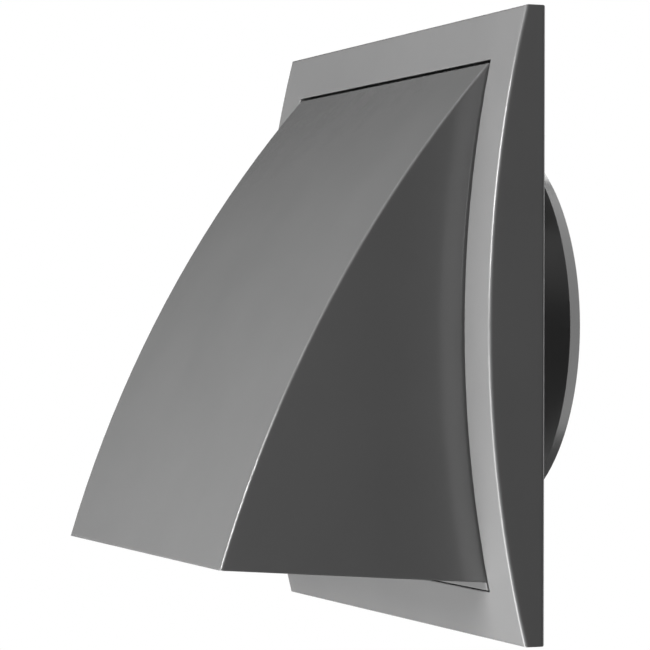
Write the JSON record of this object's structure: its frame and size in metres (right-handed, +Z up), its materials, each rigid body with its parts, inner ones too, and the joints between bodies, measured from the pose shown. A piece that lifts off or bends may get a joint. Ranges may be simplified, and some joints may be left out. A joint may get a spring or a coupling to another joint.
{
  "type": "wall vent with hood and duct spigot",
  "caption": "Square wall vent with a curved hood that is open underneath, a round duct spigot behind it and a hinged non-return flap inside.",
  "frame": {"origin": "middle of the back face, in the plane of the wall", "axes": "+X to the right as seen from the front, +Y into the wall along the duct, +Z up"},
  "size_m": [0.15, 0.0979, 0.15],
  "materials": {
    "frame_plastic": "fine satin moulded grey plastic",
    "hood_plastic": "fine satin moulded grey plastic",
    "base_plastic": "satin moulded grey plastic",
    "flap_plastic": "satin moulded grey plastic",
    "seal_rubber": "matt soft rubber",
    "pin_steel": "drawn stainless wire"
  },
  "bodies": {
    "housing": {"wall_base": "base_plastic", "guard_grille": "base_plastic", "flap_seal": "seal_rubber", "hinge_pin": "pin_steel", "hood": "hood_plastic", "face_frame": "frame_plastic"},
    "flap": {"flap": "flap_plastic"}
  },
  "joints": [
    {"name": "flap_swing", "type": "hinge", "parent": "housing", "child": "flap", "pos_m": [0, -0.007, 0.0522], "axis": [-1, 0, 0], "range_deg": [0, 30]}
  ]
}
